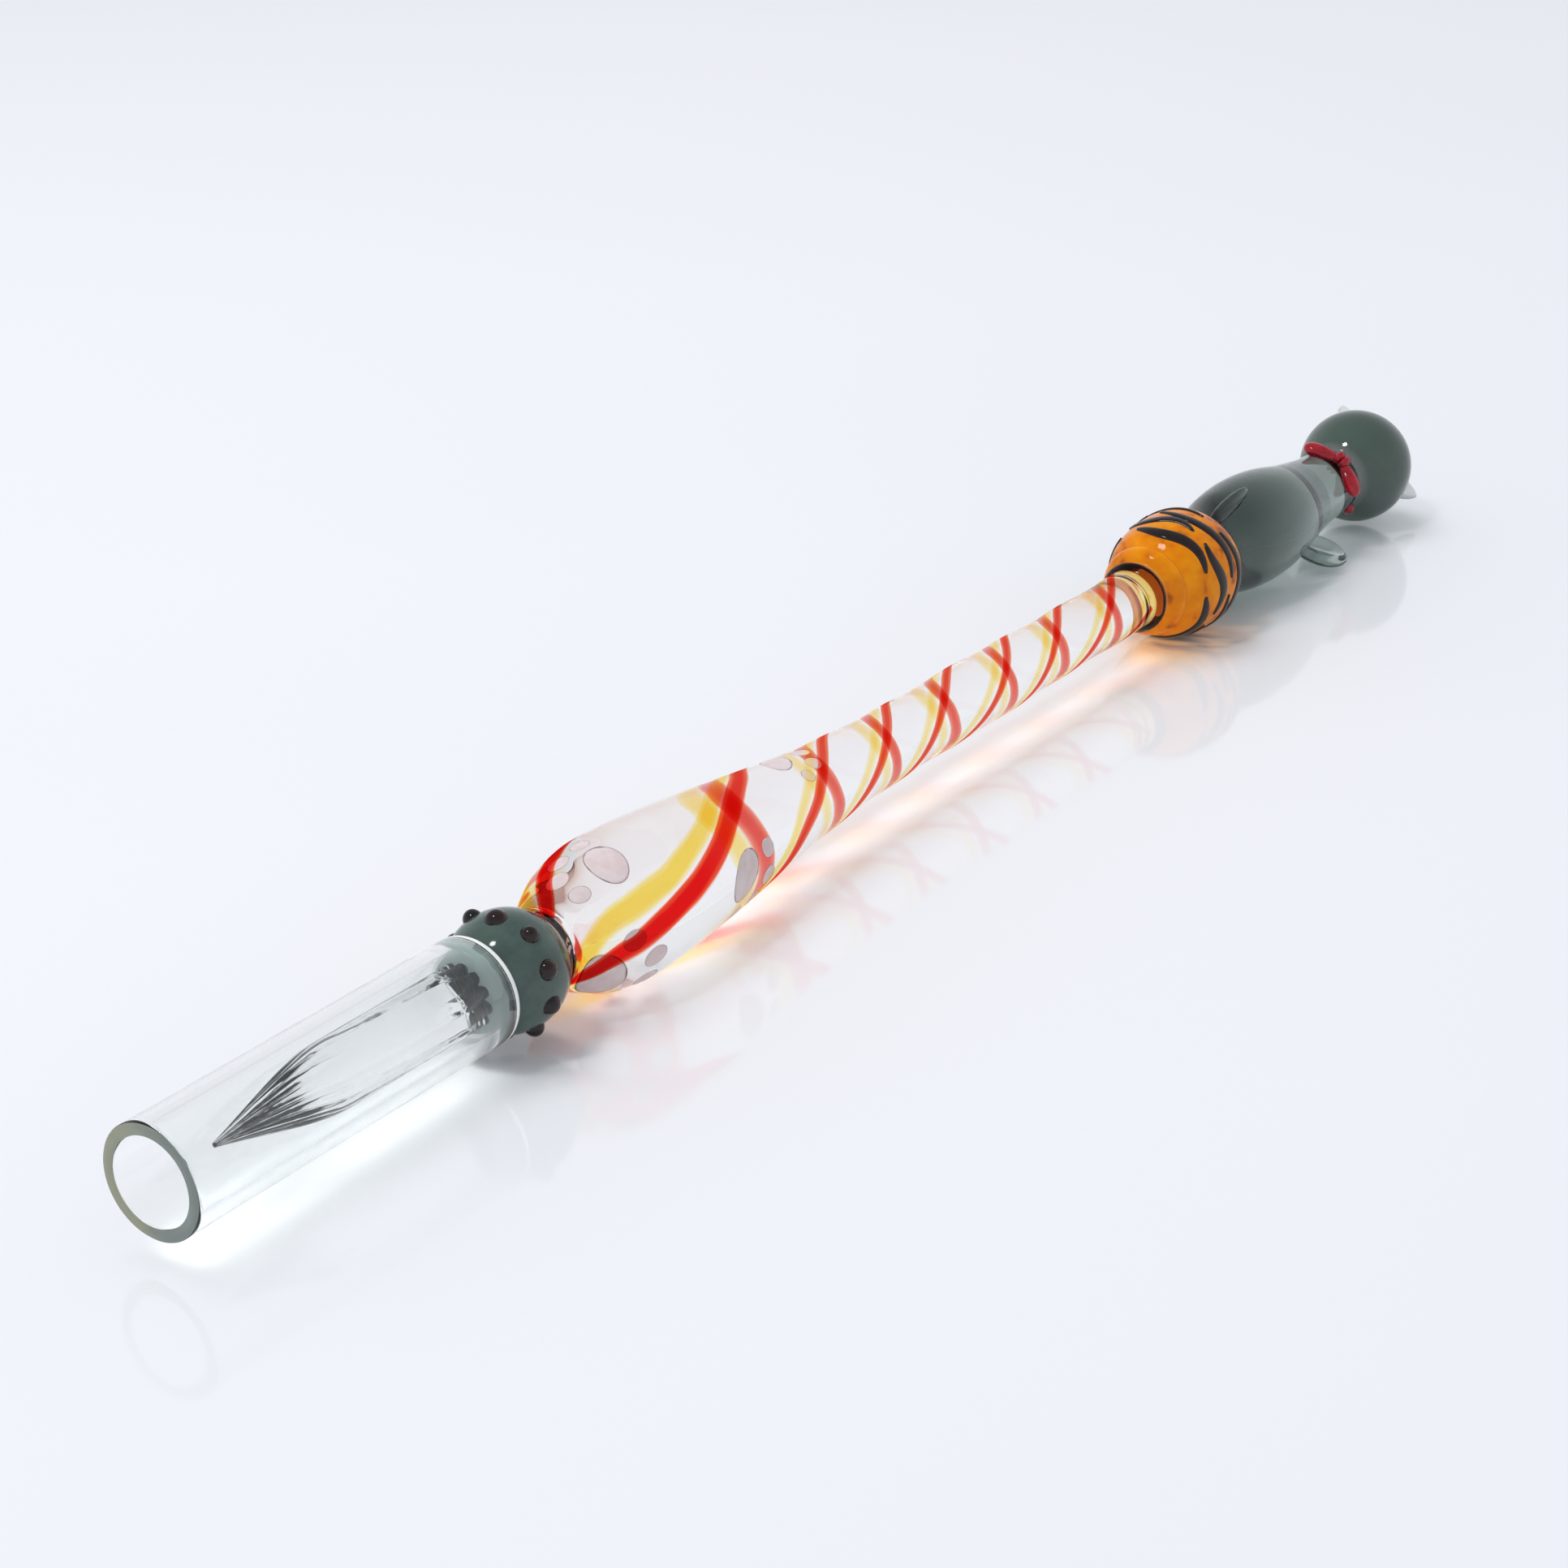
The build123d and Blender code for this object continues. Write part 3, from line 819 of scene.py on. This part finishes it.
def make_bead():
    outline = list(COLLAR_EDGE)
    outline += [(s, COLLAR_R) for s in samples(*COLLAR_BAND, 4)]
    start = math.acos((BEAD_CENTRE - BEAD_START) / BEAD_R)
    finish = math.pi - math.acos((BEAD_END - BEAD_CENTRE) / BEAD_R)
    for angle in samples(start, finish, 48):
        outline.append((BEAD_CENTRE - BEAD_R * math.cos(angle), BEAD_R * math.sin(angle)))
    mesh = turned_mesh("bead_ball", outline)
    add_piece("bead_ball", mesh, "pen", "smoke_glass", SMOKE_GLASS, "bead", "nib_collar")


def make_dots():
    dots = []
    for i in range(DOTS):
        size = DOT_SIZES[i % len(DOT_SIZES)]
        station = DOT_STATION + DOT_SWAY * math.sin(DOT_SWAY_STEP * i)
        clock = (i + 0.5) * 360 / DOTS
        level = math.sqrt(BEAD_R ** 2 - (station - BEAD_CENTRE) ** 2)
        centre = at(station, clock, level - DOT_SUNK)
        dots.append(blob_mesh("dot", centre, Vector((1, 0, 0)), radial(clock), (size, size, DOT_DEPTH)))
    mesh = merged("bead_dot_ring", dots)
    add_piece("bead_dot_ring", mesh, "pen", "black_glass", BLACK_GLASS, "bead_dots")


def make_grip():
    crown = 60.0
    bulb = samples(BEAD_END - GRIP_IN_BEAD, crown, 60)
    stem = samples(crown + 0.4, GRIP_END + GRIP_IN_NECK, 420)
    outline = [(s, hermite(GRIP_PROFILE, s)) for s in bulb + stem]

    def ridge(station, clock):
        return grip_radius(station, clock) - hermite(GRIP_PROFILE, station)

    mesh = turned_mesh("grip_blown", outline, 160, ridge)
    add_piece("grip_blown", mesh, "pen", "clear_glass", GRIP_GLASS, "grip_body")


def make_threads(colour, path, width_marks, material):
    """Threads of one colour, spaced evenly round the grip."""
    stations = samples(THREAD_START, THREAD_END, THREAD_STEPS)
    widths = [hermite(width_marks, station) for station in stations]
    for number in range(1, THREADS_OF_A_COLOUR + 1):
        lead = (number - 1) * 360 / THREADS_OF_A_COLOUR
        centres = [(station, hermite(path, station) + lead) for station in stations]
        name = f"{colour}_spiral_{number}"
        mesh = ribbon_mesh(name, centres, widths, grip_radius, THREAD_PROUD, THREAD_SUNK)
        add_piece(name, mesh, "pen", f"{colour}_glass", material, f"{colour}_thread_{number}")


def make_paw_print(number, station, clock, turn, size, swing):
    """One pad and its toes; "ahead" points the way that the paw does, at a turn from the axis."""
    toe_long, toe_wide = TOE_SIZE
    blobs = [(0.0, 0.0, *PAD_SIZE, turn)]
    blobs += [(ahead, aside, toe_long * r, toe_wide * r, turn + swing) for ahead, aside, r in TOES]
    parts = []
    for ahead, aside, half_long, half_wide, way in blobs:
        cos_w = math.cos(math.radians(way))
        sin_w = math.sin(math.radians(way))
        middle_s = station + size * (ahead * cos_w - aside * sin_w)
        level = grip_radius(middle_s, clock)
        middle_c = clock + math.degrees(size * (ahead * sin_w + aside * cos_w) / level)
        parts.append(print_blob(middle_s, middle_c, way, size * half_long, size * half_wide))
    name = f"print_{number}"
    add_piece(name, merged(name, parts), "pen", "print_glass", PRINT_GLASS, f"paw_print_{number}")


def print_blob(station, clock, turn, half_long, half_wide, rings=10, segments=44):
    """Low dome that follows the grip's surface; its UV runs from the middle (0) to the rim (1)."""
    cos_t = math.cos(math.radians(turn))
    sin_t = math.sin(math.radians(turn))

    def on_grip(share, angle, height):
        along = half_long * share * math.cos(angle)
        across = half_wide * share * math.sin(angle)
        s = station + along * cos_t - across * sin_t
        c = clock + math.degrees((along * sin_t + across * cos_t) / grip_radius(s, clock))
        dome = math.sqrt(1 - share ** 3)
        return at(s, c, grip_radius(s, c) + height * dome)

    levels = [(i / rings, PRINT_PROUD) for i in range(1, rings + 1)]
    levels += [(i / rings, -PRINT_SUNK) for i in range(rings - 1, 0, -1)]
    vertices = [on_grip(0.0, 0.0, PRINT_PROUD), on_grip(0.0, 0.0, -PRINT_SUNK)]
    shares = [0.0, 0.0]
    for share, height in levels:
        for j in range(segments):
            vertices.append(on_grip(share, 2 * math.pi * j / segments, height))
            shares.append(share)
    faces = []
    last = 2 + (len(levels) - 1) * segments
    for j in range(segments):
        k = (j + 1) % segments
        faces.append((0, 2 + j, 2 + k))
        faces.append((1, last + k, last + j))
        for i in range(len(levels) - 1):
            low = 2 + i * segments
            high = low + segments
            faces.append((low + j, high + j, high + k, low + k))
    data = face_outwards(mesh_from("print_blob", vertices, faces))
    layer = data.uv_layers.new(name="UVMap")
    for loop in data.loops:
        layer.data[loop.index].uv = (shares[loop.vertex_index], 0.5)
    return data


def bell_sway(clock):
    """How far the bell is out of round."""
    return 0.05 * math.sin(math.radians(3 * clock + 50))


def ring_sway(clock):
    """How far the neck ring and the step ring are out of round."""
    return 0.04 * math.sin(math.radians(2 * clock + 20))


def bell_radius(station, clock):
    return hermite(BELL_PROFILE, station) + bell_sway(clock)


def ring_radius(station, start, end, radii, swell, fullness=1.0):
    """Radius of a ring that bulges between two radii; fullness below 1 squares the bulge off."""
    low, high = radii
    share = (station - start) / (end - start)
    bulge = max(math.sin(math.pi * share), 0.0) ** fullness
    return low + (high - low) * share + swell * bulge


def make_bell():
    outline = []
    for s in samples(GRIP_END, NECK_END, 12):
        outline.append((s, ring_radius(s, GRIP_END, NECK_END, NECK_RADII, NECK_SWELL)))
    for s in samples(STEP_START, BELL_START, 14):
        outline.append((s, ring_radius(s, NECK_END, BELL_START, STEP_RADII, STEP_SWELL, STEP_FULLNESS)))
    for s in samples(BELL_START + 0.2, BELL_END, 60):
        outline.append((s, hermite(BELL_PROFILE, s)))
    lip_station, lip_radius = LIP_CENTRE
    for angle in samples(*LIP_ARC, 10):
        outline.append((lip_station + LIP_R * math.sin(angle), lip_radius + LIP_R * math.cos(angle)))
    outline += BELL_HOLLOW

    def sway(station, clock):
        return bell_sway(clock) if station > BELL_START + 0.1 else ring_sway(clock)

    mesh = turned_mesh("amber_bell", outline, 160, sway)
    add_piece("amber_bell", mesh, "pen", "amber_glass", AMBER_GLASS, "bell", "step_ring", "neck_ring")


def make_stripe(station, start, sweep, number):
    """Wavy stripe round the bell that tapers at both ends."""
    thin, wide = STRIPE_WIDTHS
    centres = []
    widths = []
    for share in samples(0.0, 1.0, STRIPE_STEPS):
        wave = STRIPE_WAVE * math.sin(STRIPE_BENDS * share + STRIPE_SHIFT * number)
        centres.append((station + wave, start + sweep * share))
        fullness = max(math.sin(math.pi * share), 0.0) ** 0.7
        widths.append(thin + (wide - thin) * fullness)
    return ribbon_mesh("stripe", centres, widths, bell_radius, STRIPE_PROUD, STRIPE_SUNK)


def make_stripes():
    stripes = []
    for station, count, sweep, first in STRIPE_ROWS:
        for number in range(count):
            stripes.append(make_stripe(station, first + number * 360 / count, sweep, number))
    mesh = merged("tiger_threads", stripes)
    add_piece("tiger_threads", mesh, "pen", "black_glass", BLACK_GLASS, "tiger_stripes")


def cat_way(ahead, left, back, roll=CAT_ROLL):
    """Direction in the cat's own terms: ahead along the pen, to its left, towards its back."""
    return Matrix.Rotation(math.radians(roll), 3, "X") @ Vector((ahead, left, back))


def cat_at(station, left, back, roll=CAT_ROLL):
    """Point on the cat: left and back are its own sides, in millimetres from the axis."""
    return at(station) + cat_way(0, left, back, roll) * MM


def face_at(tilt, aside, distance):
    """Point on the head, a tilt from the pen's axis towards the belly."""
    angle = math.radians(tilt)
    reach = math.sqrt(distance ** 2 - aside ** 2)
    return cat_at(HEAD_CENTRE + reach * math.cos(angle), aside, -reach * math.sin(angle), HEAD_ROLL)


def face_way(tilt):
    angle = math.radians(tilt)
    return cat_way(math.cos(angle), 0, -math.sin(angle), HEAD_ROLL)


def drop_between(name, start, end, section, flat_way, shape=None):
    """Blob whose long axis joins two points."""
    run = end - start
    sizes = (run.length / 2 / MM, *section)
    return blob_mesh(name, (start + end) / 2, run, flat_way, sizes, shape)


def cat_drop(name, places, side, section, flat_way, shape=None, roll=CAT_ROLL):
    """Drop on the cat's left (side 1), or mirrored to its right (side -1)."""
    start, end = (cat_at(station, side * left, back, roll) for station, left, back in places)
    return drop_between(name, start, end, section, flat_way, shape)


def face_bead(name, part, aside, flat_way):
    tilt, height, sizes = part
    return blob_mesh(name, face_at(tilt, aside, HEAD_R + height), face_way(tilt), flat_way, sizes)


def make_cat_figure():
    outline = [(s, hermite(CAT_PROFILE, s)) for s in samples(CAT_START, CAT_END, 130)]
    start = math.acos((HEAD_CENTRE - HEAD_START) / HEAD_R)
    for angle in samples(start, math.radians(179), 90):
        outline.append((HEAD_CENTRE - HEAD_R * math.cos(angle), HEAD_R * math.sin(angle)))
    mesh = turned_mesh("cat_figure", outline)
    add_piece("cat_figure", mesh, "pen", "cat_glass", CAT_GLASS, "cat_body", "cat_head")


def make_ears():
    flat_way = cat_way(0, 0, 1, HEAD_ROLL)

    def pointed(t):
        return 1.2 - 0.85 * t

    for side_name, side in SIDES:
        ear = cat_drop("ear", EAR, side, EAR_SECTION, flat_way, pointed, HEAD_ROLL)
        add_piece(f"ear_{side_name}_horn", ear, "pen", "ear_glass", EAR_GLASS, f"ear_{side_name}")


def make_bow():
    """Bow whose loops thicken outwards, with a bead on each side for its knot."""
    ahead = cat_way(1, 0, 0)
    back_way = cat_way(0, 0, 1)

    def thickening(t):
        return 0.62 + 0.55 * t ** 1.2

    knots = []
    station, left, back = BOW_KNOT
    for side_name, side in SIDES:
        loop = cat_drop("loop", BOW_LOOP, side, BOW_LOOP_SECTION, back_way, thickening)
        add_piece(f"bow_{side_name}_loop", loop, "pen", "bow_glass", BOW_GLASS, f"bow_{side_name}")
        knots.append(blob_mesh("knot", cat_at(station, side * left, back), ahead, back_way, BOW_KNOT_SIZES))
    add_piece("bow_knot_beads", merged("bow_knot_beads", knots), "pen", "bow_glass", BOW_GLASS, "bow_knot")
    bead = blob_mesh("bead", cat_at(*COLLAR_BEAD), ahead, back_way, COLLAR_BEAD_SIZES)
    add_piece("collar_bead", bead, "pen", "bow_glass", BOW_GLASS, "collar_drop")


def make_limbs():
    side_way = cat_way(0, 1, 0)
    for side_name, side in SIDES:
        paw = cat_drop("paw", HIND_PAW, side, PAW_SECTION, side_way)
        add_piece(f"hind_paw_{side_name}_drop", paw, "pen", "paw_glass", PAW_GLASS, f"hind_paw_{side_name}")
    paw = cat_drop("paw", FRONT_PAW, 1, PAW_SECTION, side_way)
    add_piece("front_paw_left_drop", paw, "pen", "paw_glass", PAW_GLASS, "front_paw_left")
    root, tip = (at(station) + Vector((0, y, z)) * MM for station, y, z in PADDLE)
    paw = drop_between("paw", root, tip, PADDLE_SECTION, Vector((0, -0.3, 1)))
    add_piece("front_paw_right_paddle", paw, "pen", "paw_glass", PAW_GLASS, "front_paw_right")
    tail = cat_drop("tail", TAIL, 1, TAIL_SECTION, cat_way(0, 0, 1))
    add_piece("tail_drop", tail, "pen", "paw_glass", PAW_GLASS, "tail")


def make_face():
    """Plain face: two beads for eyes, a low muzzle and a small nose."""
    side_way = cat_way(0, 1, 0)
    eyes = merged("eye_pair", [face_bead("eye", EYE, side * EYE_ASIDE, side_way) for _, side in SIDES])
    add_piece("eye_pair", eyes, "pen", "black_glass", BLACK_GLASS, "eyes")
    across = cat_way(0, 1, 0, HEAD_ROLL)
    muzzle = face_bead("muzzle", MUZZLE, 0, across)
    add_piece("muzzle_pad", muzzle, "pen", "ear_glass", EAR_GLASS, "muzzle")
    nose = face_bead("nose", NOSE, 0, across)
    add_piece("nose_bead", nose, "pen", "bow_glass", BOW_GLASS, "nose")


make_tube()
make_nib()
make_bead()
make_dots()
make_grip()
make_threads("red", RED_PATH, RED_WIDTHS, RED_GLASS)
make_threads("yellow", YELLOW_PATH, YELLOW_WIDTHS, YELLOW_GLASS)
for number, print_data in enumerate(PAW_PRINTS, start=1):
    make_paw_print(number, *print_data)
make_bell()
make_stripes()
make_cat_figure()
make_ears()
make_bow()
make_limbs()
make_face()


# ---------------------------------------------------------------- stage, light and camera
def make_floor():
    """Glossy white sheet."""
    corners = [(x * FLOOR_REACH, y * FLOOR_REACH, 0) for x, y in ((-1, -1), (1, -1), (1, 1), (-1, 1))]
    data = mesh_from("floor", corners, [(0, 1, 2, 3)])
    floor = bpy.data.objects.new("floor", data)
    bpy.context.scene.collection.objects.link(floor)
    n = Nodes("white_acrylic")
    cloud = n.noise(n.position(), 0.004, 2.0)
    colour = n.ramp(cloud, ((0.3, (0.86, 0.875, 0.90)), (0.7, (0.88, 0.89, 0.915))))
    sheet = n.add(
        "ShaderNodeBsdfPrincipled",
        {"Base Color": colour, "Roughness": 0.07, "Specular IOR Level": 0.5},
    )
    data.materials.append(n.finish(sheet.outputs[0]))
    floor.location.z = CAD_BOX[0].z - FLOOR_GAP


def make_lamp(name, place, size, power, glints=False, glows=False):
    """Round lamp; it may glint in the glass and may glow on the floor through it."""
    lamp = bpy.data.lights.new(name, "AREA")
    lamp.shape = "DISK"
    lamp.size = size
    lamp.energy = power
    obj = bpy.data.objects.new(name, lamp)
    obj.location = place
    to_pen = -Vector(place)
    obj.rotation_euler = to_pen.to_track_quat("-Z", "Y").to_euler()
    obj.visible_glossy = glints
    obj.visible_transmission = glows
    bpy.context.scene.collection.objects.link(obj)


def make_world():
    """Pale surroundings: brighter below, dimmer overhead."""
    world = bpy.data.worlds.new("studio")
    world.use_nodes = True
    tree = world.node_tree
    background = tree.nodes["Background"]
    ramp = tree.nodes.new("ShaderNodeValToRGB")
    split = tree.nodes.new("ShaderNodeSeparateXYZ")
    way = tree.nodes.new("ShaderNodeTexCoord")
    tree.links.new(way.outputs["Generated"], split.inputs[0])
    tree.links.new(split.outputs["Z"], ramp.inputs[0])
    tree.links.new(ramp.outputs[0], background.inputs["Color"])
    elements = ramp.color_ramp.elements
    elements[0].position = 0.25
    elements[0].color = (0.825, 0.84, 0.88, 1.0)
    elements[1].position = 0.75
    elements[1].color = (0.475, 0.49, 0.525, 1.0)
    background.inputs["Strength"].default_value = 1.0
    bpy.context.scene.world = world


def make_camera():
    """Long lens, seen from the nib's side and tilted a little."""
    data = bpy.data.cameras.new("camera")
    data.lens = 84.9
    data.sensor_width = 36.0
    data.clip_start = 0.01
    camera = bpy.data.objects.new("camera", data)
    azimuth, elevation, roll = math.radians(-54.0), math.radians(23.17), math.radians(-2.02)
    back = Vector((
        math.sin(azimuth) * math.cos(elevation),
        -math.cos(azimuth) * math.cos(elevation),
        math.sin(elevation),
    ))
    camera.location = (-0.27027, -0.1829, 0.14216)
    camera.rotation_mode = "QUATERNION"
    upright = (-back).to_track_quat("-Z", "Y")
    camera.rotation_quaternion = upright @ Euler((0.0, 0.0, roll)).to_quaternion()
    bpy.context.scene.collection.objects.link(camera)
    bpy.context.scene.camera = camera


make_floor()
make_world()
make_lamp("key", (0.05, 0.3, 0.8), 0.45, 2.1)
make_lamp("glow", (0.0, 0.24, 0.82), 0.35, 0.32, glows=True)
make_lamp("sparkle", (-0.3, 0.1, 0.65), 0.12, 1.0, glints=True)
make_camera()
bpy.context.scene.view_settings.view_transform = "Standard"
